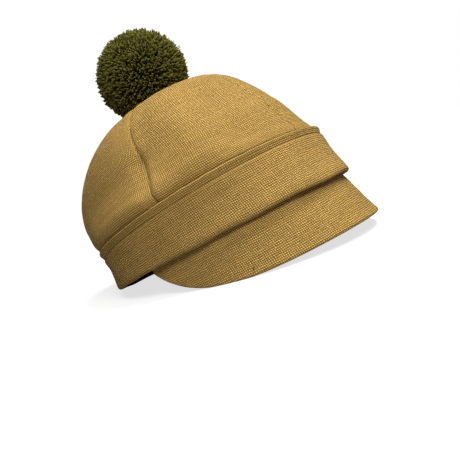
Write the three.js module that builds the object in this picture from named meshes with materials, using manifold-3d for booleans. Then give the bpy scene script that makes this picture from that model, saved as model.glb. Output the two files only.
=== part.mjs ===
// A five-gored cap of woven wool with a flared, turned-down band, a short peak and a yarn pompom.
// Millimetres, +Z up. The peak points to -Y and the wearer's left is at +X.
// The cap is worked out upright, with the top edge of its band level at z = 0, and is then tipped
// onto the surface that it rests on, where the back of the band and both sides of the peak touch.

import * as THREE from 'three';
import { mergeVertices } from 'three/addons/utils/BufferGeometryUtils.js';
import Module from 'manifold-3d';

const wasm = await Module();
wasm.setup();

// Driving dimensions: cloth and gaps

const ply = 2.0;                  // one thickness of the wool cloth
const seamGap = 0.3;              // between pieces that are sewn together
const sideClearance = 0.5;        // between the band's inner ply and the crown at the sides
const endClearance = 2.6;         // the same at the front and the back, where the band stands off

// Driving dimensions: band

const ridgeHalfLength = 102.5;    // outer face of the band's top edge, from the centre to the front
const ridgeHalfWidth = 90.9;      // the same, from the centre to a side
const foldHalfLength = 110.2;     // outer face of the band's bottom fold, to the front
const foldHalfWidth = 86.1;       // the same, to a side
const bandHeight = 34.6;          // from the top edge to the bottom fold, at the sides
const bandSlant = 5.2;            // how much deeper the band is at the front, and shallower behind
const weltHeight = 5.0;           // raised edge along the top of the band
const weltThickness = 4.1;
const lipProud = 0.6;             // how far the top of that edge stands out past the rest of it
const grooveDepth = 1.5;          // stitched groove under the welt
const foldRadius = 2.5;           // outside of the bottom fold, where the cloth doubles back
const hemHeight = 14;             // how far the inner ply turns up behind the band

// Driving dimensions: crown

const crownHeight = 78.7;         // from the level of the band's top edge to the highest gore
const goreBulge = 1.3;            // how far a gore swells between its seams
const goreFullness = 0.8;         // lower is a gore that swells sooner beside its seams
const openingRise = 2.5;          // the crown's lower edge lies this far above the band's fold
const goreCount = 5;

// Driving dimensions: peak

const peakHalfLength = 112.6;     // edge of the peak, from the centre to the front
const peakHalfWidth = 82.2;       // ellipse that the edge follows, from the centre to a side
const peakDrop = 37.0;            // from just inside the fold down to the edge, at the front
const peakTuck = 2.0;             // how far above the fold the peak's ends run out
const peakReach = THREE.MathUtils.degToRad(98);        // half of the arc that it covers
const peakEnd = 0.975;            // share of that arc at which its ends are closed off
const peakSquareness = 5.8;       // higher is a fuller peak with rounder corners
const peakThickness = 3.5;
const peakHollow = 0.6;           // how far its face is hollow between the root and the edge

// Driving dimensions: pompom

const pompomRadius = 36.2;
const pompomSink = 4.5;           // how far its lowest yarn lies below the crown's highest level
const pompomLeft = 1.1;           // how far it leans off the tip, towards the wearer's left
const pompomFront = 1.4;          // the same, towards the front
const coreRadius = 32.6;          // ball of tight yarn that the loose ends of the locks stand on
const lockRoot = 18.1;            // how far from the middle a lock starts
const lockCount = 72;
const lockSides = 5;
const lockRadius = 5.6;           // outer end of a lock of yarn
const lockRootRadius = 3.9;
const lockRagged = 1.6;           // how much the locks differ in length
const lockSeed = 7;
const tieDrop = 4.0;              // how far the tie reaches below the crown's tip

// Driving dimension: how far the cloth is flattened where it rests

const restFlat = 0.7;

// How finely each piece is divided

const bandColumns = 60;
const goreColumns = 10;
const peakColumns = 36;
const coreDetail = 3;
const tieSides = 10;

// Crown's profile, from the level of the band's top edge to the tip
// height: share of the crown's height; front, back and side: how far the ring reaches each way, as
// shares of the crown's half length and half width at the band; puff: share of the gore bulge
const crownProfile = [
  { height: 0.000, front: 1.000, back: 1.000, side: 1.000, puff: 0.00 },
  { height: 0.090, front: 0.970, back: 1.050, side: 1.038, puff: 0.45 },
  { height: 0.210, front: 0.938, back: 1.122, side: 0.992, puff: 0.85 },
  { height: 0.360, front: 0.894, back: 1.180, side: 0.926, puff: 1.00 },
  { height: 0.530, front: 0.824, back: 1.130, side: 0.882, puff: 1.00 },
  { height: 0.690, front: 0.748, back: 0.986, side: 0.822, puff: 1.00 },
  { height: 0.820, front: 0.680, back: 0.820, side: 0.738, puff: 0.95 },
  { height: 0.920, front: 0.602, back: 0.655, side: 0.630, puff: 0.80 },
  { height: 0.980, front: 0.502, back: 0.515, side: 0.505, puff: 0.60 },
  { height: 1.000, front: 0.360, back: 0.360, side: 0.360, puff: 0.42 },
  { height: 0.984, front: 0.225, back: 0.225, side: 0.225, puff: 0.26 },
  { height: 0.944, front: 0.110, back: 0.110, side: 0.110, puff: 0.12 },
  { height: 0.912, front: 0.042, back: 0.042, side: 0.042, puff: 0.00 },
];

// Rows down a gore below the band's top edge, as shares of the way from the opening up to it
const tuckedRows = [1, 0.6, 0.2, 0];

// Welt along the band's top edge: how far out, as a share of its thickness, and how far down, as a
// share of its height
const weltFace = [
  { out: -0.78, down: 0.06 },
  { out: -0.38, down: 0.00 },
];
const weltBack = [
  { out: -1.00, down: 0.20 },
  { out: -1.00, down: 0.34 },
  { out: -1.00, down: 0.48 },
  { out: -1.00, down: 0.80 },
];
const lipLevel = 0.2;
const underLip = 0.68;
const grooveLevel = 1.08;
const grooveBackLevel = 1.16;

// Face of the band between the groove and the bottom fold: how far down, as a share of the band's
// depth, and how far in, as a share of the groove's depth
const bandRows = [
  { down: 0.40, sag: 0.95 },
  { down: 0.68, sag: 0.40 },
];
const foldSteps = 4;

// Face of the peak between its root and its rounded edge, as shares of that length
const peakRows = [0, 0.1, 0.35, 0.65, 0.9];
const peakStiffFrom = 0.3;        // share of its length over which it thickens from one ply

// Rounded edges: shares of the half thickness, measured in from the edge
const roundRows = [1, 0.45, 0.12];

// Sizes that follow from those above

const crownHalfLength = ridgeHalfLength - weltThickness - seamGap;
const crownHalfWidth = ridgeHalfWidth - weltThickness - seamGap;
const openingHalfLength = foldHalfLength - 2 * foldRadius - endClearance;
const openingHalfWidth = foldHalfWidth - 2 * foldRadius - sideClearance;
const pompomHeight = crownHeight + pompomRadius - pompomSink;

const foldDepth = (t) => bandHeight + bandSlant * Math.cos(t);
const openingLevel = (t) => openingRise - foldDepth(t);

// t is the angle round the cap, from the front towards the wearer's right

function ring(halfLength, halfWidth, z, t) {
  return new THREE.Vector3(-halfWidth * Math.sin(t), -halfLength * Math.cos(t), z);
}

function outwards(halfLength, halfWidth, t) {
  return new THREE.Vector3(-Math.sin(t) / halfWidth, -Math.cos(t) / halfLength, 0).normalize();
}

// A closed body from columns of cloth, in the order of t: each column has points on its face and its
// back, row by row from the top down. Columns that go all round close on themselves; otherwise both
// ends are closed off.
function cloth(columns, allRound) {
  const rows = columns[0].face.length;
  const positions = [];
  for (const { face, back } of columns) {
    for (const point of [...face, ...back]) {
      positions.push(point.x, point.y, point.z);
    }
  }
  const triangles = [];
  const at = (column, row, side) => (column % columns.length) * rows * 2 + side * rows + row;
  const quad = (a, b, c, d) => triangles.push(a, c, b, a, d, c);
  const spans = allRound ? columns.length : columns.length - 1;
  for (let column = 0; column < spans; column++) {
    const next = column + 1;
    for (let row = 0; row < rows - 1; row++) {
      const below = row + 1;
      quad(at(column, row, 0), at(column, below, 0), at(next, below, 0), at(next, row, 0));
      quad(at(column, row, 1), at(next, row, 1), at(next, below, 1), at(column, below, 1));
    }
    const last = rows - 1;
    quad(at(column, 0, 0), at(next, 0, 0), at(next, 0, 1), at(column, 0, 1));
    quad(at(column, last, 0), at(column, last, 1), at(next, last, 1), at(next, last, 0));
  }
  if (!allRound) {
    const end = columns.length - 1;
    for (let row = 0; row < rows - 1; row++) {
      quad(at(0, row, 0), at(0, row, 1), at(0, row + 1, 1), at(0, row + 1, 0));
      quad(at(end, row, 0), at(end, row + 1, 0), at(end, row + 1, 1), at(end, row, 1));
    }
  }
  const geometry = new THREE.BufferGeometry();
  geometry.setAttribute('position', new THREE.Float32BufferAttribute(positions, 3));
  geometry.setIndex(triangles);
  return geometry;
}

// Joining and cutting of closed bodies

function toSolid(geometry) {
  const bare = geometry.clone();
  bare.deleteAttribute('normal');
  bare.deleteAttribute('uv');
  const merged = mergeVertices(bare);
  const mesh = new wasm.Mesh({
    numProp: 3,
    vertProperties: new Float32Array(merged.attributes.position.array),
    triVerts: new Uint32Array(merged.index.array),
  });
  return new wasm.Manifold(mesh);
}

function toGeometry(solid) {
  const mesh = solid.getMesh();
  const geometry = new THREE.BufferGeometry();
  geometry.setAttribute('position', new THREE.BufferAttribute(mesh.vertProperties, 3));
  geometry.setIndex(new THREE.BufferAttribute(mesh.triVerts, 1));
  return geometry;
}

// Crown: gores of one cloth wall, from the head opening up to a small hole at the tip

function profileCurve(key) {
  return new THREE.SplineCurve(crownProfile.map((row) => new THREE.Vector2(row[key], 0)));
}

const profile = {
  height: profileCurve('height'),
  front: profileCurve('front'),
  back: profileCurve('back'),
  side: profileCurve('side'),
  puff: profileCurve('puff'),
};

// v runs from -1 at the head opening, through 0 at the level of the band's top edge, to 1 at the tip
function crownPoint(t, v) {
  if (v < 0) {
    const halfLength = THREE.MathUtils.lerp(crownHalfLength, openingHalfLength, -v);
    const halfWidth = THREE.MathUtils.lerp(crownHalfWidth, openingHalfWidth, -v);
    return ring(halfLength, halfWidth, -v * openingLevel(t), t);
  }
  const share = (key) => profile[key].getPoint(v).x;
  const reach = Math.cos(t) > 0 ? share('front') : share('back');
  const level = crownHeight * share('height');
  const point = ring(crownHalfLength * reach, crownHalfWidth * share('side'), level, t);
  const swell = Math.abs(Math.sin(goreCount * t / 2)) ** goreFullness * goreBulge * share('puff');
  return point.addScaledVector(outwards(crownHalfLength, crownHalfWidth, t), swell);
}

function crownNormal(t, v) {
  const step = 1e-4;
  const around = crownPoint(t + step, v).sub(crownPoint(t - step, v));
  const along = crownPoint(t, Math.min(v + step, 1)).sub(crownPoint(t, Math.max(v - step, -1)));
  return along.cross(around).normalize();
}

const rowsAbove = crownProfile.length - 1;
const goreRows = tuckedRows.map((share) => -share);
for (let row = 1; row <= rowsAbove; row++) {
  goreRows.push(row / rowsAbove);
}

function gore(index) {
  const pitch = 2 * Math.PI / goreCount;
  const middle = (index + 0.5) * pitch;
  const insideSeam = 0.98;
  const columns = [];
  for (let column = 0; column <= goreColumns; column++) {
    const across = 2 * column / goreColumns - 1;
    const face = [];
    const back = [];
    for (const v of goreRows) {
      const seam = crownPoint(index * pitch, v);
      const reach = pitch / 2 - Math.asin(seamGap / 2 / Math.hypot(seam.x, seam.y));
      const t = middle + across * reach;
      const point = crownPoint(t, v);
      const normal = crownNormal(middle + across * reach * insideSeam, v);
      face.push(point);
      back.push(point.clone().addScaledVector(normal, -ply));
    }
    columns.push({ face: face.reverse(), back: back.reverse() });
  }
  return cloth(columns, false);
}

// Band: welt, groove, flared outer ply, bottom fold and the inner ply turned up behind it

function bandSection(depth) {
  const welt = ({ out, down }) => ({ out: out * weltThickness, up: -down * weltHeight });
  const face = weltFace.map(welt);
  const back = weltBack.map(welt);
  face.push({ out: lipProud, up: -lipLevel * weltHeight });
  face.push({ out: 0, up: -underLip * weltHeight });
  face.push({ out: -grooveDepth, up: -grooveLevel * weltHeight });
  back.push({ out: -grooveDepth - ply, up: -grooveBackLevel * weltHeight });
  for (const { down, sag } of bandRows) {
    face.push({ out: -sag * grooveDepth, up: -down * depth });
    back.push({ out: -sag * grooveDepth - ply, up: -down * depth });
  }
  const inner = foldRadius - ply;
  for (let step = 0; step <= foldSteps; step++) {
    const angle = step * Math.PI / foldSteps;
    const up = foldRadius - depth;
    face.push({ out: foldRadius * (Math.cos(angle) - 1), up: up - foldRadius * Math.sin(angle) });
    back.push({ out: inner * Math.cos(angle) - foldRadius, up: up - inner * Math.sin(angle) });
  }
  face.push({ out: -2 * foldRadius, up: hemHeight - depth });
  back.push({ out: ply - 2 * foldRadius, up: hemHeight - depth });
  return { face, back };
}

function band() {
  const columns = [];
  for (let column = 0; column < bandColumns; column++) {
    const t = 2 * Math.PI * column / bandColumns;
    const depth = foldDepth(t);
    const place = ({ out, up }) => {
      const share = -up / depth;
      const halfLength = THREE.MathUtils.lerp(ridgeHalfLength, foldHalfLength, share);
      const halfWidth = THREE.MathUtils.lerp(ridgeHalfWidth, foldHalfWidth, share);
      const point = ring(halfLength, halfWidth, up, t);
      return point.addScaledVector(outwards(halfLength, halfWidth, t), out);
    };
    const { face, back } = bandSection(depth);
    columns.push({ face: face.map(place), back: back.map(place) });
  }
  return cloth(columns, true);
}

// Peak: a bowed sheet from the crown's lower edge to a rounded outer edge

const rootHalfLength = openingHalfLength - ply / 2;
const rootHalfWidth = openingHalfWidth - ply / 2;

function peakRoot(t) {
  return ring(rootHalfLength, rootHalfWidth, openingLevel(t) - seamGap, t);
}

// Towards its ends the peak runs out, back up under the fold
function peakEdge(t) {
  const full = 1 - (Math.abs(t) / peakReach) ** peakSquareness;
  const halfLength = THREE.MathUtils.lerp(rootHalfLength, peakHalfLength, full);
  const halfWidth = THREE.MathUtils.lerp(rootHalfWidth, peakHalfWidth, full);
  return ring(halfLength, halfWidth, peakTuck - foldDepth(t) - peakDrop * full, t);
}

function peak() {
  const columns = [];
  for (let column = 0; column <= peakColumns; column++) {
    const t = peakEnd * peakReach * (2 * column / peakColumns - 1);
    const root = peakRoot(t);
    const edge = peakEdge(t);
    const length = root.distanceTo(edge);
    const stiff = Math.min(1, length / peakDrop);
    const half = Math.min(THREE.MathUtils.lerp(ply, peakThickness, stiff) / 2, length / 3);
    const out = outwards(peakHalfLength, peakHalfWidth, t);
    const side = new THREE.Vector3(-out.y, out.x, 0);
    const hollow = peakHollow * length / peakDrop;
    const middle = (at) => {
      const point = root.clone().lerp(edge, at);
      return point.addScaledVector(out, 4 * hollow * at * (at - 1));
    };
    const rows = peakRows.map((share) => ({ at: share * (1 - half / length), round: 1 }));
    for (const share of roundRows) {
      rows.push({ at: 1 - share * half / length, round: Math.sqrt(1 - (1 - share) ** 2) });
    }
    const face = [];
    const back = [];
    const nearby = 0.01;
    for (const { at, round } of rows) {
      const thicken = THREE.MathUtils.smoothstep(at, 0, peakStiffFrom);
      const halfHere = THREE.MathUtils.lerp(ply / 2, half, thicken) * round;
      const along = middle(at + nearby).sub(middle(at - nearby)).normalize();
      const normal = along.cross(side).normalize().lerp(out, 1 - thicken).normalize();
      face.push(middle(at).addScaledVector(normal, halfHere));
      back.push(middle(at).addScaledVector(normal, -halfHere));
    }
    columns.push({ face, back });
  }
  return cloth(columns, false);
}

// Pompom: locks of yarn round a ball, and the tie that goes down through the crown's tip

function makeRandom(seed) {
  let state = seed;
  return () => {
    state = (state * 1664525 + 1013904223) % 4294967296;
    return state / 4294967296;
  };
}

function pompom() {
  const random = makeRandom(lockSeed);
  const centre = new THREE.Vector3(pompomLeft, -pompomFront, pompomHeight);
  const core = new THREE.IcosahedronGeometry(coreRadius, coreDetail);
  core.translate(centre.x, centre.y, centre.z);
  const bodies = [toSolid(core)];
  const golden = Math.PI * (3 - Math.sqrt(5));
  const axis = new THREE.Vector3(0, 1, 0);
  for (let index = 0; index < lockCount; index++) {
    const rise = 1 - 2 * (index + 0.5) / lockCount;
    const turn = index * golden;
    const flat = Math.sqrt(1 - rise * rise);
    const way = new THREE.Vector3(flat * Math.cos(turn), flat * Math.sin(turn), rise);
    const outer = pompomRadius - lockRagged * random();
    const length = outer - lockRoot;
    const lock = new THREE.CylinderGeometry(lockRadius, lockRootRadius, length, lockSides);
    lock.rotateY(2 * Math.PI * random());
    lock.translate(0, (outer + lockRoot) / 2, 0);
    lock.applyQuaternion(new THREE.Quaternion().setFromUnitVectors(axis, way));
    lock.translate(centre.x, centre.y, centre.z);
    bodies.push(toSolid(lock));
  }
  const tip = crownProfile[crownProfile.length - 1];
  const tieRadius = crownHalfWidth * tip.side - seamGap;
  const tieBottom = crownHeight * tip.height - ply - tieDrop;
  const tieLength = pompomHeight - tieBottom;
  const tie = new THREE.CylinderGeometry(tieRadius, tieRadius, tieLength, tieSides);
  tie.rotateX(Math.PI / 2);
  tie.translate(0, 0, (pompomHeight + tieBottom) / 2);
  bodies.push(toSolid(tie));
  return toGeometry(wasm.Manifold.union(bodies));
}

// Rest: the tilt that brings the back of the band and the sides of the peak down onto one level

function lowest(geometry, tilt, keep) {
  const point = new THREE.Vector3();
  const positions = geometry.attributes.position;
  let level = Infinity;
  for (let index = 0; index < positions.count; index++) {
    point.fromBufferAttribute(positions, index);
    if (keep(point)) {
      level = Math.min(level, point.y * Math.sin(tilt) + point.z * Math.cos(tilt));
    }
  }
  return level;
}

function restTilt(bandGeometry, peakGeometry) {
  const halvings = 50;
  let low = -Math.PI / 4;
  let high = Math.PI / 4;
  for (let step = 0; step < halvings; step++) {
    const tilt = (low + high) / 2;
    const behind = lowest(bandGeometry, tilt, (point) => point.y > 0);
    const front = lowest(peakGeometry, tilt, () => true);
    if (behind > front) {
      high = tilt;
    } else {
      low = tilt;
    }
  }
  return (low + high) / 2;
}

function flatten(geometry, tilt, level) {
  const width = 4 * foldHalfLength;
  const depth = foldHalfLength;
  const ground = new THREE.BoxGeometry(width, width, depth);
  ground.translate(0, 0, level - depth / 2);
  ground.rotateX(-tilt);
  return toGeometry(toSolid(geometry).subtract(toSolid(ground)));
}

const bandGeometry = band();
const peakGeometry = peak();
const tilt = restTilt(bandGeometry, peakGeometry);
const restLevel = lowest(peakGeometry, tilt, () => true) + restFlat;

// Assembly

const wool = new THREE.MeshStandardMaterial({ color: 0xb9954f, roughness: 0.95, metalness: 0 });
const yarn = new THREE.MeshStandardMaterial({ color: 0x4c4a24, roughness: 0.95, metalness: 0 });

const upright = new THREE.Group();

function add(name, geometry, material) {
  const mesh = new THREE.Mesh(geometry, material.clone());
  mesh.name = name;
  upright.add(mesh);
}

const goreNames = [
  'gore_front_right',
  'gore_side_right',
  'gore_back',
  'gore_side_left',
  'gore_front_left',
];
for (let index = 0; index < goreCount; index++) {
  add(goreNames[index], gore(index), wool);
}
add('band', flatten(bandGeometry, tilt, restLevel), wool);
add('peak', flatten(peakGeometry, tilt, restLevel), wool);
add('pompom', pompom(), yarn);

upright.rotation.x = tilt;
const group = new THREE.Group();
group.add(upright);
group.updateMatrixWorld(true);

// The origin is the centre of the bottom of the whole cap's box
const box = new THREE.Box3().setFromObject(group, true);
const centre = box.getCenter(new THREE.Vector3());
upright.position.set(-centre.x, -centre.y, -box.min.z);

export default group;
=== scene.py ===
# %% [markdown]
# # A gored wool cap with a turned-down band, a peak and a pompom
#
# The cap is sewn from mustard hopsack wool: five gores for the crown, a doubled band that turns
# down all round, and a short stiff peak under the band. A dark olive pompom of cut yarn is tied on
# at the tip. Each step below first says what the piece is, then how it could be made and why it is
# made the way that it is.
#
# The first step loads the plain solids that the finished pieces have to fit.

import bpy
import math
import numpy as np
from mathutils import Matrix, Vector, noise


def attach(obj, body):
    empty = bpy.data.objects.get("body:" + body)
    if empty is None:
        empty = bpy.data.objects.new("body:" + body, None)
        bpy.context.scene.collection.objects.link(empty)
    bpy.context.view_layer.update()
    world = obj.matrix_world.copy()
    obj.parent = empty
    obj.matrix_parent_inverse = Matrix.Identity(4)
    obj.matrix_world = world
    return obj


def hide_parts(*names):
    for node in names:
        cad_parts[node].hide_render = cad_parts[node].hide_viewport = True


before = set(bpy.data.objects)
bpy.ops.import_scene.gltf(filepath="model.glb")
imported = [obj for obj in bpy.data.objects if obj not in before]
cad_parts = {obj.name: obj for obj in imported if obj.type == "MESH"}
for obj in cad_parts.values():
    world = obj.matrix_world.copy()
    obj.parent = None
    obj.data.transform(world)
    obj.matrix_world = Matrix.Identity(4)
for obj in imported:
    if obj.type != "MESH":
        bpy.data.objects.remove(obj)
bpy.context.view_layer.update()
print("plain solids:", sorted(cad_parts))

# %% [markdown]
# ## The cap's own axes
#
# A cap is easiest to work out upright, with the top edge of its band level. On a table it tips
# back, because the back of the band and both sides of the peak touch the table. So every point is
# worked out upright, in millimetres, and then turned and moved onto the table, in metres.

# %% From the upright cap to the cap at rest
MM = 0.001
TILT = math.radians(-14.155609502188131)
SHIFT = np.array([0.0, 3.9017806381261337, 54.14598104363586])
TURN = np.array([
    [1, 0, 0],
    [0, math.cos(TILT), -math.sin(TILT)],
    [0, math.sin(TILT), math.cos(TILT)],
])


def at_rest(points):
    """Upright millimetres to metres on the table."""
    return (np.asarray(points) @ TURN.T + SHIFT) * MM


def turned(vector):
    """An upright direction, turned as the resting cap is."""
    return Vector(TURN @ np.asarray(vector))


print("the cap tips by", round(math.degrees(TILT), 1), "degrees")

# %% [markdown]
# ## Sizes
#
# All sizes are in millimetres and are those of the plain solids, so that each finished piece fits
# the space that its solid holds.

# %% Sizes in millimetres
PLY = 2.0
RIDGE = (102.5, 90.9)
FOLD = (110.2, 86.1)
BAND_HEIGHT = 34.6
BAND_SLANT = 5.2
WELT_HEIGHT = 5.0
WELT_THICKNESS = 4.1
LIP_PROUD = 0.6
GROOVE = 1.5
FOLD_RADIUS = 2.5
HEM_HEIGHT = 14.0
CROWN_HEIGHT = 78.7
GORE_BULGE = 1.3
GORE_FULLNESS = 0.8
OPENING_RISE = 2.5
GORES = 5
PEAK = (112.6, 82.2)
PEAK_DROP = 37.0
PEAK_TUCK = 2.0
PEAK_REACH = math.radians(98)
PEAK_END = 0.975
PEAK_SQUARENESS = 5.8
PEAK_THICKNESS = 3.5
PEAK_HOLLOW = 0.6
POMPOM_CENTRE = np.array([1.1, -1.4, 110.4])
POMPOM_RADIUS = 36.2
SEAM_GAP = 0.3

CROWN = (RIDGE[0] - WELT_THICKNESS - SEAM_GAP, RIDGE[1] - WELT_THICKNESS - SEAM_GAP)
OPENING = (FOLD[0] - 2 * FOLD_RADIUS - 2.6, FOLD[1] - 2 * FOLD_RADIUS - 0.5)

PROFILE = np.array([
    # height, front, back, side, puff
    (0.000, 1.000, 1.000, 1.000, 0.00),
    (0.090, 0.970, 1.050, 1.038, 0.45),
    (0.210, 0.938, 1.122, 0.992, 0.85),
    (0.360, 0.894, 1.180, 0.926, 1.00),
    (0.530, 0.824, 1.130, 0.882, 1.00),
    (0.690, 0.748, 0.986, 0.822, 1.00),
    (0.820, 0.680, 0.820, 0.738, 0.95),
    (0.920, 0.602, 0.655, 0.630, 0.80),
    (0.980, 0.502, 0.515, 0.505, 0.60),
    (1.000, 0.360, 0.360, 0.360, 0.42),
    (0.984, 0.225, 0.225, 0.225, 0.26),
    (0.944, 0.110, 0.110, 0.110, 0.12),
    (0.912, 0.042, 0.042, 0.042, 0.00),
])


def fold_depth(t):
    return BAND_HEIGHT + BAND_SLANT * np.cos(t)


def ring(half, z, t):
    """Points on an oval ring. t is the angle from the front towards the wearer's right."""
    x = -half[1] * np.sin(t)
    y = -half[0] * np.cos(t)
    return np.stack(np.broadcast_arrays(x, y, z), axis=-1)


def outwards(half, t):
    way = ring((1 / half[0], 1 / half[1]), 0.0 * t, t)
    return way / np.linalg.norm(way, axis=-1, keepdims=True)


def unit(vectors):
    return vectors / np.linalg.norm(vectors, axis=-1, keepdims=True)


def mix(a, b, share):
    return a + (b - a) * share


def curve(p0, p1, p2, p3, w):
    """The point a share w of the way from p1 to p2, on a smooth curve through all four."""
    v0 = (p2 - p0) / 2
    v1 = (p3 - p1) / 2
    return (2 * p1 - 2 * p2 + v0 + v1) * w**3 + (3 * p2 - 3 * p1 - 2 * v0 - v1) * w**2 + v0 * w + p1


print("crown", CROWN, "opening", OPENING)

# %% [markdown]
# ## Laying cloth
#
# A cut piece of cloth starts flat, with its threads square to each other, and is then sewn into
# its shape. The model does the same: a flat grid is added, its vertices are laid on the shape, and
# a second set of coordinates keeps where each vertex lies in the cloth, so that the weave follows
# the piece. A grid that goes all round has its two edges merged afterwards.

# %% A grid laid on a shape
MERGE_WITHIN = 1e-6


def laid_grid(name, points, even=False):
    """points[row, column] in upright millimetres. The weave is measured across from the middle
    column and down it. With even=True it is measured across along the middle row, for every row,
    and down each column."""
    rows, columns = points.shape[:2]
    bpy.ops.object.select_all(action="DESELECT")
    bpy.ops.mesh.primitive_grid_add(x_subdivisions=columns - 1, y_subdivisions=rows - 1, size=1)
    piece = bpy.context.object
    piece.name = name
    piece.data.name = name
    mesh = piece.data
    flat = np.empty(len(mesh.vertices) * 3)
    mesh.vertices.foreach_get("co", flat)
    flat = flat.reshape(-1, 3)
    column = np.rint((flat[:, 0] + 0.5) * (columns - 1)).astype(int)
    row = np.rint((flat[:, 1] + 0.5) * (rows - 1)).astype(int)
    placed = at_rest(points)
    placed[..., 2] = np.maximum(placed[..., 2], 0.0)
    mesh.vertices.foreach_set("co", placed[row, column].ravel())

    steps = np.linalg.norm(np.diff(points, axis=1), axis=-1)
    across = np.concatenate([np.zeros((rows, 1)), np.cumsum(steps, axis=1)], axis=1)
    if even:
        across = np.broadcast_to(across[rows // 2], across.shape)
    across = across - across[:, columns // 2][:, None]
    steps = np.linalg.norm(np.diff(points, axis=0), axis=-1)
    along = np.concatenate([np.zeros((1, columns)), np.cumsum(steps, axis=0)])
    if not even:
        along = np.broadcast_to(along[:, columns // 2][:, None], along.shape)
    cloth = np.stack([across, along], axis=-1) * MM
    corners = np.empty(len(mesh.loops), dtype=np.int32)
    mesh.loops.foreach_get("vertex_index", corners)
    mesh.uv_layers[0].data.foreach_set("uv", cloth[row, column][corners].ravel())
    mesh.uv_layers[0].name = "cloth"
    mesh.update()
    return piece


def finish_cloth(piece, merge=False, holes=False):
    """Merges the edges that meet, closes open ends and turns all faces outwards."""
    bpy.ops.object.mode_set(mode="EDIT")
    bpy.ops.mesh.select_all(action="SELECT")
    if merge:
        bpy.ops.mesh.remove_doubles(threshold=MERGE_WITHIN)
    if holes:
        bpy.ops.mesh.fill_holes(sides=0)
        bpy.ops.mesh.select_all(action="SELECT")
    bpy.ops.mesh.normals_make_consistent(inside=False)
    bpy.ops.object.mode_set(mode="OBJECT")
    bpy.ops.object.shade_smooth()


def wander(points, size, amount, seed=0.0):
    """Soft unevenness of hand-worked cloth: one number for each point."""
    flat = points.reshape(-1, 3) / size + seed
    values = np.fromiter((noise.noise(Vector(p)) for p in flat), float, len(flat))
    return amount * values.reshape(points.shape[:-1])


# %% [markdown]
# ## Crown
#
# The crown is five gores, sewn edge to edge from the tip down to the head opening. Each seam lies
# in a shallow valley, and the two seam allowances pressed open behind it raise a soft ridge on
# each side. Just above the band the cloth flares a little and sits on the welt. The crown could be
# one dome with painted seams, but then the seams would cast no shadow, so each gore is its own
# cloth wall. Its columns crowd towards the seams, where the valley needs them, and two neighbours
# lap by a hair, so that no light shows between them.

# %% The crown's surface
SEAM_VALLEY = 1.35
SEAM_WIDTH = 0.70
SEAM_LAP = 0.03
ALLOWANCE_RIDGE = 0.32
ALLOWANCE_AT = 4.6
ALLOWANCE_WIDTH = 2.3
FLARE = 1.6
FLARE_HEIGHT = 9.0
SMALL_STEP = 1e-4


def profile(column, v):
    """The profile's column, on a smooth curve through its rows."""
    values = PROFILE[:, column]
    last = len(values) - 1
    place = np.clip(v, 0, 1) * last
    index = np.minimum(place.astype(int), last)
    before = values[np.maximum(index - 1, 0)]
    after = values[np.minimum(index + 1, last)]
    beyond = values[np.minimum(index + 2, last)]
    return curve(before, values[index], after, beyond, place - index)


def crown_point(t, v, bulge=GORE_BULGE):
    """v is -1 at the head opening, 0 at the band's top edge and 1 at the tip."""
    below = np.clip(-v, 0, 1)
    inside = (mix(CROWN[0], OPENING[0], below), mix(CROWN[1], OPENING[1], below))
    tucked = ring(inside, below * (OPENING_RISE - fold_depth(t)), t)
    reach = np.where(np.cos(t) > 0, profile(1, v), profile(2, v))
    shown = ring((CROWN[0] * reach, CROWN[1] * profile(3, v)), CROWN_HEIGHT * profile(0, v), t)
    swell = np.abs(np.sin(GORES * t / 2)) ** GORE_FULLNESS * bulge * profile(4, v)
    shown = shown + outwards(CROWN, t) * swell[..., None]
    return np.where((v < 0)[..., None], tucked, shown)


def crown_normal(t, v):
    """Outwards from the crown without its gores' bulge, so that two gores agree at their seam."""
    around = crown_point(t + SMALL_STEP, v, 0) - crown_point(t - SMALL_STEP, v, 0)
    high = np.minimum(v + SMALL_STEP, 1)
    low = np.maximum(v - SMALL_STEP, -1)
    along = crown_point(t, high, 0) - crown_point(t, low, 0)
    return unit(np.cross(along, around))


# %% [markdown]
# A worn crown isn't an even dome. Three soft ridges and two hollows lie on its front right. Each
# is a soft mound along a short line, and the table gives the line's two ends, the mound's width
# and its height.

# %% Ridges and hollows
FOLDS = [
    # one end, other end, width, height
    ((-75.2, -14.0, 41.0), (-77.6, -15.5, 31.0), 9.0, 1.1),
    ((-74.8, -24.5, 31.0), (-84.0, -25.0, 9.0), 5.5, -2.4),
    ((-81.2, -33.9, 15.3), (-83.0, -33.5, 3.0), 4.0, 1.0),
    ((-52.0, -42.0, 52.0), (-62.0, -62.0, 18.0), 15.0, 3.2),
    ((-33.0, -66.0, 54.0), (-38.0, -85.0, 12.0), 12.0, -2.2),
]


def fold_relief(points):
    total = np.zeros(points.shape[:-1])
    for start, end, width, height in FOLDS:
        start = np.array(start)
        line = np.array(end) - start
        share = np.clip(((points - start) @ line) / (line @ line), 0, 1)
        distance = np.linalg.norm(points - start - share[..., None] * line, axis=-1)
        total = total + height * np.exp(-(distance / width) ** 2)
    return total


# %% The five gores
GORE_NAMES = [
    "gore_front_right",
    "gore_side_right",
    "gore_back",
    "gore_side_left",
    "gore_front_left",
]
GORE_COLUMNS = 72
TUCKED_ROWS = 14
SHOWN_ROWS = 104
TIP_EASE = 0.25
BAND_EASE = 0.125
WELT_EASE = 0.02
PUCKERS = (9.0, 0.6, 3.1)
CROWN_UNEVEN = [
    # size, amount, seed
    (42.0, 0.9, 11.0),
    (15.0, 0.35, 5.0),
]


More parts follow.
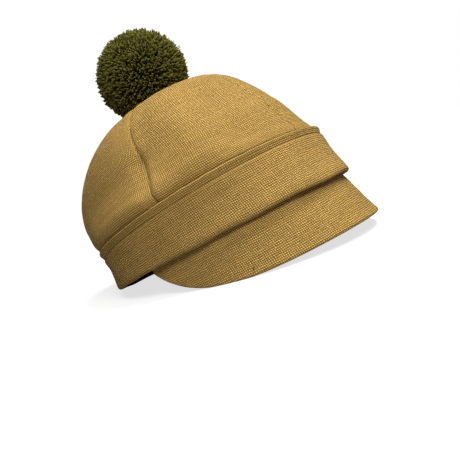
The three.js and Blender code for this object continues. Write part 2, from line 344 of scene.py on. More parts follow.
def gore_points(index):
    pitch = 2 * math.pi / GORES
    levels = np.concatenate([
        np.linspace(-1, 0, TUCKED_ROWS, endpoint=False),
        np.linspace(0, 1, SHOWN_ROWS),
    ])
    across = -np.cos(np.linspace(0, math.pi, GORE_COLUMNS + 1))
    v, share = np.meshgrid(levels, across, indexing="ij")
    seam = crown_point(np.full_like(v, index * pitch), v)
    radius = np.hypot(seam[..., 0], seam[..., 1])
    reach = pitch / 2 + np.arcsin(SEAM_LAP / radius)
    t = (index + 0.5) * pitch + share * reach
    points = crown_point(t, v)
    normal = crown_normal(t, v)
    from_seam = (1 - np.abs(share)) * reach * np.hypot(points[..., 0], points[..., 1])
    near_tip = np.clip((1 - v) / TIP_EASE, 0, 1)
    above_band = np.clip(v / BAND_EASE, 0, 1)
    puckers = 1 + wander(points * [1, 1, 0.6], *PUCKERS)
    relief = -SEAM_VALLEY * np.exp(-(from_seam / SEAM_WIDTH) ** 2)
    relief = relief + ALLOWANCE_RIDGE * puckers * np.exp(
        -((from_seam - ALLOWANCE_AT) / ALLOWANCE_WIDTH) ** 2)
    relief = relief * near_tip
    for size, amount, seed in CROWN_UNEVEN:
        relief = relief + wander(points, size, amount, seed) * above_band * near_tip
    relief = relief + fold_relief(points) * above_band
    flare = FLARE * np.exp(-(points[..., 2] / FLARE_HEIGHT) ** 2)
    relief = relief + flare * np.clip(v / WELT_EASE, 0, 1)
    return points + normal * relief[..., None]


def cut_size(points):
    """Width, length and area in metres of the flat piece that a grid of points was cut from."""
    wide = np.linalg.norm(np.diff(points, axis=1), axis=-1).sum(axis=1)
    long = np.linalg.norm(np.diff(points, axis=0), axis=-1).sum(axis=0)
    first = points[1:, 1:] - points[:-1, :-1]
    second = points[1:, :-1] - points[:-1, 1:]
    area = np.linalg.norm(np.cross(first, second), axis=-1).sum() / 2
    return wide.max() * MM, long.max() * MM, area * MM**2


gores = []
gore_cuts = []
for index, name in enumerate(GORE_NAMES):
    laid = gore_points(index)
    gore = laid_grid(name + "_cloth", laid)
    finish_cloth(gore)
    gores.append(gore)
    gore_cuts.append(cut_size(laid))
print("gores:", [len(gore.data.polygons) for gore in gores])

# %% [markdown]
# The gores are still without thickness. Solidify gives them a wall on the inside only, so that the
# outside keeps its place. Which way a face points decides which side is inside, so that is tested
# first: at the middle of a gore the normal has to point away from the cap's middle.

# %% Thickness for the gores


def point_outwards(piece, middle):
    """Turns an open sheet's faces away from a point."""
    mesh = piece.data
    face = mesh.polygons[len(mesh.polygons) // 2]
    if face.normal.dot(face.center - middle) < 0:
        bpy.ops.object.select_all(action="DESELECT")
        bpy.context.view_layer.objects.active = piece
        piece.select_set(True)
        bpy.ops.object.mode_set(mode="EDIT")
        bpy.ops.mesh.select_all(action="SELECT")
        bpy.ops.mesh.flip_normals()
        bpy.ops.object.mode_set(mode="OBJECT")


def thicken(piece, thickness):
    bpy.context.view_layer.objects.active = piece
    wall = piece.modifiers.new("wall", "SOLIDIFY")
    wall.thickness = thickness * MM
    wall.offset = -1
    bpy.ops.object.modifier_apply(modifier=wall.name)


CAP_MIDDLE = Vector(at_rest([0, 0, 20]))

for gore in gores:
    point_outwards(gore, CAP_MIDDLE)
    thicken(gore, PLY)
print("a gore has", len(gores[0].data.polygons), "faces with its wall")

# %% [markdown]
# ## Band
#
# The band is one loop of doubled cloth. Its top edge is a narrow welt: a lip that catches the
# light, and under it a groove where a row of stitches pulls the layers together. Below that the
# cloth swells a little, flares out, rolls round a soft fold and turns up again inside. A straight
# strip would miss the roll, so the whole section is drawn as one closed curve and carried round
# the cap.

# %% The band's section
BAND_COLUMNS = 600
FACE_STEPS = 3
BACK_STEPS = 2
FOLD_STEPS = 12
INNER_FOLD_STEPS = 4
HEM_STRAIGHT = 5.0
HEM_MIDDLE = 1.0
HEM_ROUND = 0.4


def smooth_line(corners, pieces):
    """More points on a smooth curve through a short row of corners."""
    corners = np.asarray(corners, float)
    last = len(corners) - 1
    line = []
    for index in range(last):
        before = corners[max(index - 1, 0)]
        beyond = corners[min(index + 2, last)]
        for w in np.arange(pieces) / pieces:
            line.append(curve(before, corners[index], corners[index + 1], beyond, w))
    line.append(corners[last])
    return np.array(line)


def band_section(depth):
    """Out and up for each point of the section, round the outside and back up the inside."""
    welt = WELT_HEIGHT
    thick = WELT_THICKNESS
    face = smooth_line([
        (-0.97 * thick, -0.16 * welt),
        (-0.78 * thick, -0.04 * welt),
        (-0.42 * thick, 0.02 * welt),
        (0.30 * LIP_PROUD, 0.0),
        (LIP_PROUD, -0.13 * welt),
        (0.9 * LIP_PROUD, -0.32 * welt),
        (0.0, -0.52 * welt),
        (-0.34 * GROOVE, -0.76 * welt),
        (-0.62 * GROOVE, -0.98 * welt),
        (-1.05 * GROOVE, -1.10 * welt),
        (-0.62 * GROOVE, -1.21 * welt),
        (-0.16 * GROOVE, -1.42 * welt),
        (-0.32 * GROOVE, -1.85 * welt),
        (-0.66 * GROOVE, -0.40 * depth),
        (-0.66 * GROOVE, -0.52 * depth),
        (-0.40 * GROOVE, -0.70 * depth),
        (-0.10 * GROOVE, -0.84 * depth),
        (0.0, FOLD_RADIUS - depth),
    ], FACE_STEPS)
    turn = np.linspace(0, math.pi, FOLD_STEPS + 1)[1:]
    low = FOLD_RADIUS - depth
    bottom = np.stack([FOLD_RADIUS * (np.cos(turn) - 1), low - FOLD_RADIUS * np.sin(turn)], axis=-1)
    inner = FOLD_RADIUS - PLY
    hem_top = HEM_HEIGHT - depth
    hem = np.array([
        (-2 * FOLD_RADIUS, low + HEM_STRAIGHT),
        (-2 * FOLD_RADIUS, hem_top),
        (-FOLD_RADIUS - HEM_MIDDLE, hem_top + HEM_ROUND),
        (PLY - 2 * FOLD_RADIUS, hem_top),
        (PLY - 2 * FOLD_RADIUS, low + HEM_STRAIGHT - 1),
    ])
    turn = np.linspace(math.pi, 0, INNER_FOLD_STEPS + 1)
    inside_fold = np.stack([inner * np.cos(turn) - FOLD_RADIUS, low - inner * np.sin(turn)], axis=-1)
    back = smooth_line([
        (-0.40 * GROOVE - PLY, -0.68 * depth),
        (-0.66 * GROOVE - PLY, -0.40 * depth),
        (-GROOVE - PLY, -1.30 * welt),
        (-GROOVE - PLY, -1.12 * welt),
        (-thick, -0.80 * welt),
        (-thick, -0.40 * welt),
        (-0.97 * thick, -0.16 * welt),
    ], BACK_STEPS)
    return np.concatenate([face, bottom, hem, inside_fold, back])


# %% [markdown]
# Hand-turned cloth is never even, so the face wanders in and out, and the folded edge up and down.
# In the groove each stitch pulls the cloth in a little.

# %% The band
STITCH_COUNT = 190
STITCH_DEPTH = 0.09
STITCH_AT = 1.1
STITCH_WIDTH = 1.6
LEAST_UNEVEN = 0.25
UNEVEN_BELOW = 10
FACE_WANDER = (21.0, 0.75, 2.0)
FACE_STRETCH = [1, 1, 0.45]
FINE_WANDER = (8.0, 0.3, 6.0)
EDGE_WANDER = (26.0, 0.9, 9.0)


def band_points():
    around = np.linspace(0, 2 * math.pi, BAND_COLUMNS + 1)
    columns = []
    for t in around:
        depth = float(fold_depth(t))
        section = band_section(depth)
        share = -section[:, 1] / depth
        half = (mix(RIDGE[0], FOLD[0], share), mix(RIDGE[1], FOLD[1], share))
        level = np.full(len(section), t)
        columns.append(ring(half, section[:, 1], level)
                       + outwards(half, level) * section[:, :1])
    points = np.stack(columns, axis=1)
    rows = len(points)
    share = np.arange(rows) / (rows - 1)
    way = outwards(FOLD, np.broadcast_to(around, points.shape[:2]))
    soft = wander(points * FACE_STRETCH, *FACE_WANDER) + wander(points, *FINE_WANDER)
    height = points[..., 2]
    shown = np.clip(-height / UNEVEN_BELOW, LEAST_UNEVEN, 1)
    points = points + way * (soft * shown)[..., None]
    low = wander(points * [1, 1, 0], *EDGE_WANDER)
    points[..., 2] += low * np.clip(-height / BAND_HEIGHT, 0, 1)
    stitch = np.cos(around * STITCH_COUNT)[None, :]
    from_groove = height + STITCH_AT * WELT_HEIGHT
    in_groove = np.exp(-(from_groove / STITCH_WIDTH) ** 2) * (share < 0.5)[:, None]
    points = points + way * (STITCH_DEPTH * stitch * in_groove)[..., None]
    return points


band_laid = band_points()
band = laid_grid("band_cloth", band_laid, even=True)
around, both_sides, both_areas = cut_size(band_laid)
band_cut = (both_sides / 2, around, both_areas / 2)
finish_cloth(band, merge=True)
print("band:", len(band.data.polygons), "faces")

# %% [markdown]
# ## Peak
#
# The peak is a thin stiff board, covered with the same wool above and below and rounded at its
# edge. It could be cut from a flat sheet and bent, but its curve differs from the middle to the
# ends, so its section is worked out column by column, from the sewn root under the band out to the
# edge and back underneath.

# %% The peak
PEAK_COLUMNS = 260
FACE_ROWS = 22
EDGE_ROWS = 8
THIN_UNTIL = 0.3
PEAK_WANDER = (30.0, 0.5, 14.0)
PEAK_FINE_WANDER = (9.0, 0.18, 8.0)


def peak_points():
    t = PEAK_END * PEAK_REACH * np.linspace(-1, 1, PEAK_COLUMNS + 1)
    root_half = (OPENING[0] - PLY / 2, OPENING[1] - PLY / 2)
    root = ring(root_half, OPENING_RISE - fold_depth(t) - SEAM_GAP, t)
    full = 1 - (np.abs(t) / PEAK_REACH) ** PEAK_SQUARENESS
    edge_half = (mix(root_half[0], PEAK[0], full), mix(root_half[1], PEAK[1], full))
    edge = ring(edge_half, PEAK_TUCK - fold_depth(t) - PEAK_DROP * full, t)
    length = np.linalg.norm(edge - root, axis=-1)
    stiff = np.minimum(1, length / PEAK_DROP)
    half = np.minimum(mix(PLY, PEAK_THICKNESS, stiff) / 2, length / 3)
    out = outwards(PEAK, t)
    side = np.stack([-out[:, 1], out[:, 0], 0 * t], axis=-1)
    hollow = PEAK_HOLLOW * length / PEAK_DROP

    def layer(at, round_off, sign):
        thick = np.clip(at / THIN_UNTIL, 0, 1)
        thick = thick * thick * (3 - 2 * thick)
        middle = root + (edge - root) * at[:, None] + out * (4 * hollow * at * (at - 1))[:, None]
        along = (edge - root) + out * (4 * hollow * (2 * at - 1))[:, None]
        normal = unit(np.cross(unit(along), side))
        normal = unit(mix(normal, out, (1 - thick)[:, None]))
        return middle + normal * (sign * mix(PLY / 2, half, thick) * round_off)[:, None]

    rows = []
    flat_to = 1 - half / length
    for share in np.linspace(0, 1, FACE_ROWS):
        rows.append(layer(share * flat_to, 1.0, 1))
    for angle in np.linspace(0, math.pi, 2 * EDGE_ROWS + 1)[1:-1]:
        at = flat_to + (1 - flat_to) * math.sin(angle)
        rows.append(layer(at, abs(math.cos(angle)), 1 if angle <= math.pi / 2 else -1))
    for share in np.linspace(1, 0, FACE_ROWS):
        rows.append(layer(share * flat_to, 1.0, -1))
    rows.append(rows[0])
    points = np.stack(rows)
    soft = wander(points, *PEAK_WANDER) + wander(points, *PEAK_FINE_WANDER)
    points = points + np.broadcast_to(out, points.shape) * soft[..., None]
    return points


peak = laid_grid("peak_cloth", peak_points(), even=True)
finish_cloth(peak, merge=True, holes=True)
print("peak:", len(peak.data.polygons), "faces")

# %% [markdown]
# ## Pompom
#
# A pompom is hundreds of lengths of yarn, tied in the middle and trimmed to a ball, so what shows
# is cut ends, each standing a little differently, with dark gaps between. Particle hair would not
# be a mesh, so one cut end is modelled, as a cone with a few rings, and is then copied over the
# ball with its own lean, length and curl.

# %% One cut end of yarn
STRANDS = 6800
STRAND_ROOT = 20.0
STRAND_RADIUS = 0.73
STRAND_RAGGED = 3.6
STRAND_PROUD = 1.3
RINGS = [
    # share of the length, share of the width
    (0.0, 0.35),
    (0.62, 0.85),
    (0.93, 1.0),
    (1.0, 0.55),
]

bpy.ops.object.select_all(action="DESELECT")
bpy.ops.mesh.primitive_cylinder_add(vertices=4, radius=1, depth=1, location=(0, 0, 0.5))
strand = bpy.context.object
bpy.ops.object.mode_set(mode="EDIT")
for level, width in RINGS[1:-1]:
    bpy.ops.mesh.select_all(action="SELECT")
    bpy.ops.mesh.bisect(plane_co=(0, 0, level), plane_no=(0, 0, 1))
bpy.ops.object.mode_set(mode="OBJECT")
bpy.ops.object.transform_apply(location=True)
strand_points = np.array([v.co[:] for v in strand.data.vertices])
for level, width in RINGS:
    near = np.abs(strand_points[:, 2] - level) < 0.02
    strand_points[near, :2] *= width
strand_faces = [tuple(face.vertices) for face in strand.data.polygons]
bpy.data.objects.remove(strand)
print("one yarn end has", len(strand_faces), "faces")

# %% [markdown]
# Random numbers come from a generator with a fixed seed. The lean of the clumps doesn't: Blender's
# noise_vector starts from the clock, so the locks fall a little differently each time.
# The golden angle spreads the ends evenly, and each is then moved a little. Neighbours lean the
# same way in clumps, a few thin strays stand proud, and underneath the ends are pressed short.

# %% All the yarn ends
YARN_SEED = 5
TURN_SPREAD = 0.02
WAY_SPREAD = 0.03
CLUMPS = 4.5
CLUMP_PROUD = 1.5
CLUMP_LEAN = 3.4
LEANS = 3.1
LEAN_SHIFT = Vector((7, 2, 5))
CURL = 1.6
STRAY_SHARE = 0.03
STRAY_PROUD = (0.6, 2.6)
STRAY_WIDTH = 0.45
PRESSED_FROM = 0.70
PRESSED = 2.6
WIDTHS = (0.75, 1.2)


def pompom_strands():
    random = np.random.default_rng(YARN_SEED)
    index = np.arange(STRANDS)
    rise = 1 - 2 * (index + 0.5) / STRANDS
    golden = math.pi * (3 - math.sqrt(5))
    turn = index * golden + random.normal(0, TURN_SPREAD, STRANDS)
    flat = np.sqrt(1 - rise * rise)
    way = np.stack([flat * np.cos(turn), flat * np.sin(turn), rise], axis=-1)
    way = unit(way + random.normal(0, WAY_SPREAD, way.shape))
    clump = np.array([noise.noise(Vector(w) * CLUMPS) for w in way])
    top = POMPOM_RADIUS + STRAND_PROUD - STRAND_RAGGED * random.random(STRANDS)
    top = top + CLUMP_PROUD * clump
    stray = random.random(STRANDS) < STRAY_SHARE
    top = np.where(stray, top + random.uniform(*STRAY_PROUD, STRANDS), top)
    under = np.clip((-way[:, 2] - PRESSED_FROM) / (1 - PRESSED_FROM), 0, 1)
    top = top - under * PRESSED
    help_way = np.where(np.abs(way[:, 2:]) < 0.9, [[0.0, 0, 1]], [[1.0, 0, 0]])
    side = unit(np.cross(way, help_way))
    other = np.cross(way, side)
    spin = random.uniform(0, 2 * math.pi, STRANDS)
    radius = STRAND_RADIUS * random.uniform(*WIDTHS, STRANDS)
    radius = np.where(stray, radius * STRAY_WIDTH, radius)
    lean = np.array([noise.noise_vector(Vector(w) * LEANS + LEAN_SHIFT)[:2] for w in way])
    curl = random.normal(0, CURL, (STRANDS, 2)) + CLUMP_LEAN * lean
    x, y, z = strand_points.T
    long = (top - STRAND_ROOT)[:, None]
    bend = z[None] ** 2
    a = radius[:, None] * (x * np.cos(spin)[:, None] - y * np.sin(spin)[:, None])
    b = radius[:, None] * (x * np.sin(spin)[:, None] + y * np.cos(spin)[:, None])
    a = a + curl[:, :1] * bend
    b = b + curl[:, 1:] * bend
    out = STRAND_ROOT + long * z[None]
    points = (POMPOM_CENTRE + way[:, None] * out[..., None]
              + side[:, None] * a[..., None] + other[:, None] * b[..., None])
    shade = random.random(STRANDS)
    return points, np.broadcast_to(z, out.shape), shade


points, share_out, shade = pompom_strands()
count = len(strand_points)
verts = at_rest(points.reshape(-1, 3))
faces = [tuple(i + n * count for i in face) for n in range(STRANDS) for face in strand_faces]
ends_mesh = bpy.data.meshes.new("pompom_yarn")
ends_mesh.from_pydata(verts.tolist(), [], faces)
pompom = bpy.data.objects.new("pompom_yarn", ends_mesh)
bpy.context.collection.objects.link(pompom)
yarn = np.stack([np.repeat(shade, count), share_out.ravel()], axis=-1)
corners = np.empty(len(ends_mesh.loops), dtype=np.int32)
ends_mesh.loops.foreach_get("vertex_index", corners)
ends_mesh.uv_layers.new(name="cloth").data.foreach_set("uv", yarn[corners].ravel())
print("pompom:", len(faces), "faces")

# %% [markdown]
# Between the ends one sees the packed yarn in shade, so a slightly lumpy ball fills the middle, coloured
# with the yarn's painted root shade. The
# tie goes down through the small hole at the crown's tip and ends in a knot inside.

# %% The middle and the tie
CORE = 30.5
CORE_LUMPS = 2.0
LUMP_SIZE = 6.0
TIE_RADIUS = 3.2
TIE_TOP = 92.0
TIE_BOTTOM = 65.9
TIE_RINGS = [-11.8, -10.7, -9.5, -8.2]
WRAP_DEPTH = 0.10
WRAP_TURNS = 2600
TIE_NECK = 0.93
TIE_END = 0.6

bpy.ops.object.select_all(action="DESELECT")
bpy.ops.mesh.primitive_ico_sphere_add(subdivisions=4, radius=CORE * MM,
                                      location=at_rest(POMPOM_CENTRE))
core = bpy.context.object
bpy.ops.object.transform_apply(location=True)
lumps = bpy.data.textures.new("packed_yarn", "CLOUDS")
lumps.noise_scale = LUMP_SIZE * MM
lump = core.modifiers.new("lumps", "DISPLACE")
lump.texture = lumps
lump.texture_coords = "LOCAL"
lump.strength = CORE_LUMPS * MM
bpy.ops.object.modifier_apply(modifier=lump.name)

bpy.ops.object.select_all(action="DESELECT")
tie_length = TIE_TOP - TIE_BOTTOM
bpy.ops.mesh.primitive_cylinder_add(vertices=20, radius=TIE_RADIUS * MM,
                                    depth=tie_length * MM, location=(0, 0, 0))
tie = bpy.context.object
bpy.ops.object.mode_set(mode="EDIT")
for level in TIE_RINGS:
    bpy.ops.mesh.select_all(action="SELECT")
    bpy.ops.mesh.bisect(plane_co=(0, 0, level * MM), plane_no=(0, 0, 1))
bpy.ops.object.mode_set(mode="OBJECT")
for vertex in tie.data.vertices:
    low_end = vertex.co.z < (0.1 - tie_length / 2) * MM
    width = (TIE_END if low_end else TIE_NECK) * (1 + WRAP_DEPTH * math.sin(vertex.co.z * WRAP_TURNS))
    vertex.co.x *= width
    vertex.co.y *= width
tie_middle = Vector(at_rest([0, 0, (TIE_TOP + TIE_BOTTOM) / 2]))
tie.matrix_world = Matrix.Translation(tie_middle) @ Matrix.Rotation(TILT, 4, "X")
bpy.ops.object.transform_apply(location=True, rotation=True)

bpy.ops.object.select_all(action="DESELECT")
for part in (core, tie):
    while part.data.uv_layers:
        part.data.uv_layers.remove(part.data.uv_layers[0])
    part.data.uv_layers.new(name="cloth")
    # The middle and the tie take the coordinates of a strand's root, so the yarn's painted shade there
    # makes them dark.
    root_shade_uv = np.tile([0.5, 0.1], len(part.data.loops))
    part.data.uv_layers["cloth"].data.foreach_set("uv", root_shade_uv)
    part.select_set(True)
pompom.select_set(True)
bpy.context.view_layer.objects.active = pompom
bpy.ops.object.join()
bpy.ops.object.shade_smooth()
print("pompom with its middle:", len(pompom.data.polygons), "faces")

# %% [markdown]
# ## Wool
#
# The wool is a plain hopsack weave: thick soft yarns that go over and under each other a little
# under every millimetre and a half, with a pinhole wherever four of them meet. An image of cloth
# would blur and repeat, so the weave is worked out from the piece's cloth coordinates: which yarn is
# on top in each square, how it rounds off, and how its colour varies from yarn to yarn. The colour
# darkens with depth into the weave, down the yarns' flanks to almost black in the pinholes: that is
# painted shade. One dark fleck of fibre is caught in the cloth of the peak, near its edge.

# %% Helpers for materials


def new_material(name):
    material = bpy.data.materials.new(name)
    material.use_nodes = True
    nodes = material.node_tree.nodes
    return material, nodes, material.node_tree.links, nodes["Principled BSDF"]


def maths(nodes, links, operation, first, second=None, clamp=False):
    """A Math node whose inputs are sockets or plain numbers."""
    node = nodes.new("ShaderNodeMath")
    node.operation = operation
    node.use_clamp = clamp
    for slot, value in enumerate((first, second)):
        if value is None:
            continue
        if isinstance(value, (int, float)):
            node.inputs[slot].default_value = value
        else:
            links.new(value, node.inputs[slot])
    return node.outputs[0]


def noise_of(nodes, links, vector, scale, detail=2.0, roughness=0.5):
    node = nodes.new("ShaderNodeTexNoise")
    node.inputs["Scale"].default_value = scale
    node.inputs["Detail"].default_value = detail
    node.inputs["Roughness"].default_value = roughness
    links.new(vector, node.inputs["Vector"])
    return node.outputs["Fac"]


def ramp(nodes, links, factor, stops):
    node = nodes.new("ShaderNodeValToRGB")
    elements = node.color_ramp.elements
    while len(elements) < len(stops):
        elements.new(0.5)
    for element, (position, colour) in zip(elements, stops):
        element.position = position
        element.color = (*colour, 1)
    links.new(factor, node.inputs["Fac"])
    return node.outputs["Color"]


def mix_colour(nodes, links, blend, factor, first, second):
    node = nodes.new("ShaderNodeMix")
    node.data_type = "RGBA"
    node.blend_type = blend
    for name, value in (("Factor_Float", factor), ("A_Color", first), ("B_Color", second)):
        socket = next(s for s in node.inputs if s.identifier == name)
        if isinstance(value, (int, float)):
            socket.default_value = value
        elif isinstance(value, tuple):
            socket.default_value = (*value, 1)
        else:
            links.new(value, socket)
    return next(s for s in node.outputs if s.identifier == "Result_Color")


# %% Hopsack wool
YARN_PITCH = 0.00138
# The darkest wool colour is painted shade, for the bottom of the pinholes.
WOOL_PINHOLE_SHADE = (0.070, 0.034, 0.006)
WOOL_MIDDLE = (0.395, 0.236, 0.060)
WOOL_LIGHT = (0.640, 0.400, 0.116)
YARN_SHAPE = (0.7, 0.45)
WOBBLE = 1.3
FIBRES = 0.45
DEEPEST = 0.22
LEAST_TONE = 0.73
YARN_TO_YARN = 0.26
PATCHES = 0.28
FLECK = at_rest([-70.1, -60.8, -65.9])
FLECK_RADIUS = 0.0013
FLECK_COLOUR = (0.060, 0.028, 0.012)


def hopsack(name):
    material, nodes, links, shader = new_material(name)
    place = nodes.new("ShaderNodeUVMap")
    place.uv_map = "cloth"
    uneven = noise_of(nodes, links, place.outputs["UV"], 130, 2)
    uneven_too = noise_of(nodes, links, place.outputs["UV"], 150, 2)
    split = nodes.new("ShaderNodeSeparateXYZ")
    links.new(place.outputs["UV"], split.inputs[0])

    def threads(position, wobble):
        count = maths(nodes, links, "DIVIDE", position, YARN_PITCH)
        shift = maths(nodes, links, "MULTIPLY", wobble, WOBBLE)
        return maths(nodes, links, "ADD", count, shift)

    u = threads(split.outputs[0], uneven)
    v = threads(split.outputs[1], uneven_too)
    round_u = maths(nodes, links, "ABSOLUTE",
                    maths(nodes, links, "SINE", maths(nodes, links, "MULTIPLY", u, math.pi)))
    round_v = maths(nodes, links, "ABSOLUTE",
                    maths(nodes, links, "SINE", maths(nodes, links, "MULTIPLY", v, math.pi)))
    yarn_u = maths(nodes, links, "FLOOR", u)
    yarn_v = maths(nodes, links, "FLOOR", v)
    checker = maths(nodes, links, "FLOORED_MODULO", maths(nodes, links, "ADD", yarn_u, yarn_v), 2.0)
    checker = maths(nodes, links, "GREATER_THAN", checker, 0.5)

    def over(first, second):
        return maths(nodes, links, "MULTIPLY",
                     maths(nodes, links, "POWER", first, YARN_SHAPE[0]),
                     maths(nodes, links, "POWER", second, YARN_SHAPE[1]))

    warp = over(round_u, round_v)
    weft = over(round_v, round_u)
    above = maths(nodes, links, "SUBTRACT", weft, warp)
    height = maths(nodes, links, "ADD", warp, maths(nodes, links, "MULTIPLY", above, checker))

    yarns = nodes.new("ShaderNodeCombineXYZ")
    links.new(maths(nodes, links, "MULTIPLY", yarn_u, checker), yarns.inputs[0])
    links.new(yarn_v, yarns.inputs[1])
    each = nodes.new("ShaderNodeTexWhiteNoise")
    links.new(yarns.outputs[0], each.inputs["Vector"])

    fibres = noise_of(nodes, links, place.outputs["UV"], 2400, 3, 0.6)
    height = maths(nodes, links, "ADD", height, maths(nodes, links, "MULTIPLY", fibres, FIBRES))
    # Painted shade: the lower a point lies in the weave, the darker its colour, down to almost black in the
    # pinholes.
    colour = ramp(nodes, links, maths(nodes, links, "SUBTRACT", height, DEEPEST), [
        (0.0, WOOL_PINHOLE_SHADE),
        (0.32, tuple(0.52 * c for c in WOOL_MIDDLE)),
        (0.62, WOOL_MIDDLE),
        (1.0, WOOL_LIGHT),
    ])
    patches = noise_of(nodes, links, place.outputs["UV"], 34, 3)
    yarn_tone = maths(nodes, links, "MULTIPLY", each.outputs["Value"], YARN_TO_YARN)
    patch_tone = maths(nodes, links, "MULTIPLY", patches, PATCHES)
    tone = maths(nodes, links, "ADD", yarn_tone, patch_tone)
    tone = maths(nodes, links, "ADD", tone, LEAST_TONE)
    grey = nodes.new("ShaderNodeCombineXYZ")
    for slot in range(3):
        links.new(tone, grey.inputs[slot])
    colour = mix_colour(nodes, links, "MULTIPLY", 1.0, colour, grey.outputs[0])
    where = nodes.new("ShaderNodeTexCoord")
    from_fleck = nodes.new("ShaderNodeVectorMath")
    from_fleck.operation = "DISTANCE"
    links.new(where.outputs["Object"], from_fleck.inputs[0])
    from_fleck.inputs[1].default_value = FLECK
    share = maths(nodes, links, "DIVIDE", from_fleck.outputs["Value"], FLECK_RADIUS)
    share = maths(nodes, links, "SUBTRACT", 1.0, share, clamp=True)
    colour = mix_colour(nodes, links, "MIX", share, colour, FLECK_COLOUR)
    links.new(colour, shader.inputs["Base Color"])
    bump = nodes.new("ShaderNodeBump")
    bump.inputs["Strength"].default_value = 1.0
    bump.inputs["Distance"].default_value = 0.00055
    links.new(height, bump.inputs["Height"])
    links.new(bump.outputs["Normal"], shader.inputs["Normal"])
    shader.inputs["Roughness"].default_value = 0.92
    shader.inputs["Specular IOR Level"].default_value = 0.12
    shader.inputs["Sheen Weight"].default_value = 0.06
    shader.inputs["Sheen Roughness"].default_value = 0.5
    shader.inputs["Sheen Tint"].default_value = (0.95, 0.68, 0.25, 1)
    return material


wool = hopsack("mustard_hopsack")
for piece in (*gores, band, peak):
    piece.data.materials.clear()
    piece.data.materials.append(wool)
print("wool nodes:", len(wool.node_tree.nodes))

# %% [markdown]
# ## Yarn
#
# The yarn is dark olive. Along each cut end the colour is painted: almost black at the root, as
# painted shade down between the ends, and lighter towards the tip, as a painted highlight. Each end
# also has its own tone at random, which its coordinates carry.

# %% Olive yarn
TIP_CURVE = 1.8
TIP_HIGHLIGHT = 0.55
SHADE_TONE = 0.22
FIBRE_TONE = 0.34
DARKER = 0.14
# The darkest yarn colour is painted shade at the roots, and the lightest is a painted highlight at the
# tips.
YARN_ROOT_SHADE = (0.010, 0.009, 0.002)
YARN_OLIVE = (0.070, 0.064, 0.009)
YARN_TIP_HIGHLIGHT = (0.200, 0.186, 0.032)


def olive_yarn(name):
    material, nodes, links, shader = new_material(name)
    place = nodes.new("ShaderNodeUVMap")
    place.uv_map = "cloth"
    split = nodes.new("ShaderNodeSeparateXYZ")
    links.new(place.outputs["UV"], split.inputs[0])
    where = nodes.new("ShaderNodeTexCoord")
    fibres = noise_of(nodes, links, where.outputs["Object"], 1500, 3, 0.65)
    # Painted shade at each strand's root, rising to a painted highlight at its tip.
    tip = maths(nodes, links, "POWER", split.outputs[1], TIP_CURVE)
    tip_light_root_shade = maths(nodes, links, "MULTIPLY", tip, TIP_HIGHLIGHT)
    shade_tone = maths(nodes, links, "MULTIPLY", split.outputs[0], SHADE_TONE)
    fibre_tone = maths(nodes, links, "MULTIPLY", fibres, FIBRE_TONE)
    tone = maths(nodes, links, "ADD", tip_light_root_shade, shade_tone)
    tone = maths(nodes, links, "ADD", tone, fibre_tone)
    tone = maths(nodes, links, "SUBTRACT", tone, DARKER, clamp=True)
    colour = ramp(nodes, links, tone, [(0.0, YARN_ROOT_SHADE), (0.5, YARN_OLIVE), (1.0, YARN_TIP_HIGHLIGHT)])
    links.new(colour, shader.inputs["Base Color"])
    bump = nodes.new("ShaderNodeBump")
    bump.inputs["Strength"].default_value = 0.8
    bump.inputs["Distance"].default_value = 0.0006
    links.new(fibres, bump.inputs["Height"])
    links.new(bump.outputs["Normal"], shader.inputs["Normal"])
    shader.inputs["Roughness"].default_value = 0.95
    shader.inputs["Specular IOR Level"].default_value = 0.1
    shader.inputs["Sheen Weight"].default_value = 0.08
    shader.inputs["Sheen Tint"].default_value = (0.75, 0.70, 0.25, 1)
    return material


yarn_material = olive_yarn("olive_yarn")
pompom.data.materials.clear()
pompom.data.materials.append(yarn_material)
print("yarn nodes:", len(yarn_material.node_tree.nodes))

# %% [markdown]
# ## Which solid each piece stands for
#
# Each finished piece takes the place of one plain solid, which is hidden. Nothing on the cap moves
# by itself, so every piece rides on the one body.

# %% Replace the plain solids
for piece, node in zip(gores, GORE_NAMES):
    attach(piece, "root")
    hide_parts(node)
for piece, node in ((band, "band"), (peak, "peak")):
    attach(piece, "root")
    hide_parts(node)
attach(pompom, "root")
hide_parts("pompom")
print("replaced", len(GORE_NAMES) + 3, "solids")

# %% [markdown]
# The gores and the band are sheets of cloth, so each states the flat size that it was cut to. The
# band's mesh has both sides of its cloth, so half of its section is the width of its strip.

# %% Flat sizes of the cloth
for gore, (width, length, area) in zip(gores, gore_cuts):
    print(gore.name, "is cut", round(width * 1000), "by", round(length * 1000), "mm")
width, length, area = band_cut
print(band.name, "is cut", round(width * 1000), "by", round(length * 1000), "mm")

# %% [markdown]
# ## Camera
#
# The camera stands level with the cap, at its front right, and is rolled, so that the cap seems to
# nod down to the right. Its place was found by fitting the band's two edges and the peak's edge.

# %% The camera
AZIMUTH = math.radians(51.0)
ELEVATION = math.radians(-3.4267)
ROLL = math.radians(29.5044)
DISTANCE = 432.341
ASIDE = 2.178
ABOVE = -32.307
FOCAL_PIXELS = 541.216
FRAME_PIXELS = 460
SENSOR = 36.0

back = np.array([-math.sin(AZIMUTH) * math.cos(ELEVATION),
                 -math.cos(AZIMUTH) * math.cos(ELEVATION), math.sin(ELEVATION)])
level = np.array([math.cos(AZIMUTH), -math.sin(AZIMUTH), 0.0])
upright = np.cross(back, level)
right = level * math.cos(ROLL) - upright * math.sin(ROLL)
up = level * math.sin(ROLL) + upright * math.cos(ROLL)
eye = at_rest(back * DISTANCE + level * ASIDE + upright * ABOVE)

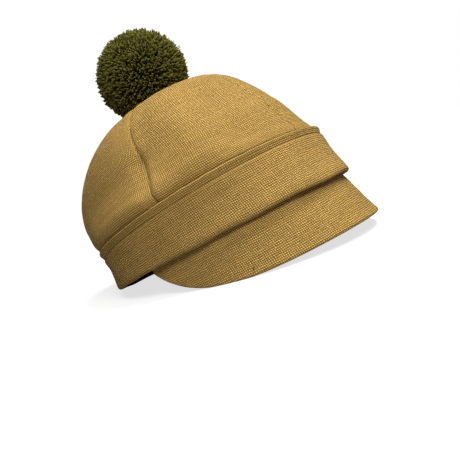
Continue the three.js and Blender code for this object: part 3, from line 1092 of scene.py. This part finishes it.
camera_data = bpy.data.cameras.new("camera")
camera_data.sensor_width = SENSOR
camera_data.lens = FOCAL_PIXELS * SENSOR / FRAME_PIXELS
camera_data.clip_start = 0.01
camera = bpy.data.objects.new("camera", camera_data)
bpy.context.collection.objects.link(camera)
axes = Matrix((turned(right), turned(up), turned(back))).transposed()
camera.matrix_world = Matrix.Translation(Vector(eye)) @ axes.to_4x4()
bpy.context.scene.camera = camera
print("camera is", round(eye[2] * 1000), "mm above the table")

# %% [markdown]
# ## Table and light
#
# The table is plain and almost white, and the air behind it is as light, so no hard line shows
# where it ends. A large soft light above the picture and one in front of it, half as high, shape
# the cap, and a weak one fills the upper left. The Standard view shows a material's colour as it
# is set. The filmic view, which is Blender's first choice, would grey the wool's yellow.

# %% The table
FLOOR_RADIUS = 4.0
FLOOR_DROP = 0.0003
FLOOR_GREY = (0.36, 0.36, 0.36, 1)
GLOW_FROM = 0.12
GLOW_TO = 0.7
AIR_SEEN = 1.0
AIR_LIGHT = 0.05
TABLE_GLOW = 0.72

bpy.ops.object.select_all(action="DESELECT")
bpy.ops.mesh.primitive_circle_add(vertices=96, radius=FLOOR_RADIUS, fill_type="NGON",
                                  location=(0, 0, -FLOOR_DROP))
floor = bpy.context.object
floor.name = "table"
floor_material, nodes, links, shader = new_material("pale_table")
shader.inputs["Base Color"].default_value = FLOOR_GREY
shader.inputs["Roughness"].default_value = 0.9
shader.inputs["Specular IOR Level"].default_value = 0.0
rays = nodes.new("ShaderNodeLightPath")
where = nodes.new("ShaderNodeTexCoord")
length = nodes.new("ShaderNodeVectorMath")
length.operation = "LENGTH"
links.new(where.outputs["Object"], length.inputs[0])
away = nodes.new("ShaderNodeMapRange")
away.interpolation_type = "SMOOTHSTEP"
away.inputs["From Min"].default_value = GLOW_FROM
away.inputs["From Max"].default_value = GLOW_TO
away.inputs["To Min"].default_value = TABLE_GLOW
away.inputs["To Max"].default_value = AIR_SEEN
links.new(length.outputs["Value"], away.inputs["Value"])
glow = maths(nodes, links, "MULTIPLY", away.outputs["Result"], rays.outputs["Is Camera Ray"])
shader.inputs["Emission Color"].default_value = (1, 1, 1, 1)
links.new(glow, shader.inputs["Emission Strength"])
floor.data.materials.append(floor_material)
print("table", FLOOR_RADIUS, "m across its half")

# %% Air and lights
air = bpy.data.worlds.new("air")
bpy.context.scene.world = air
air.use_nodes = True
nodes, links = air.node_tree.nodes, air.node_tree.links
background = nodes["Background"]
background.inputs["Color"].default_value = (1, 1, 1, 1)
rays = nodes.new("ShaderNodeLightPath")
extra = maths(nodes, links, "MULTIPLY", rays.outputs["Is Camera Ray"], AIR_SEEN - AIR_LIGHT)
links.new(maths(nodes, links, "ADD", extra, AIR_LIGHT), background.inputs["Strength"])


LAMP_DISTANCE = 1.1
LAMP_SIZE = 0.40


def soft_light(name, toward, watts):
    """A square light, placed by its direction in the picture: right, up, towards the camera."""
    way = turned(right * toward[0] + up * toward[1] + back * toward[2]).normalized()
    data = bpy.data.lights.new(name, "AREA")
    data.size = LAMP_SIZE
    data.energy = watts
    lamp = bpy.data.objects.new(name, data)
    bpy.context.collection.objects.link(lamp)
    lamp.location = CAP_MIDDLE + way * LAMP_DISTANCE
    lamp.rotation_euler = way.to_track_quat("Z", "Y").to_euler()
    return lamp


soft_light("top", (0.05, 0.97, 0.24), 13.0)
soft_light("front", (-0.05, 0.58, 0.82), 9.2)
soft_light("left", (-0.50, 0.85, 0.15), 1.8)
bpy.context.scene.view_settings.view_transform = "Standard"
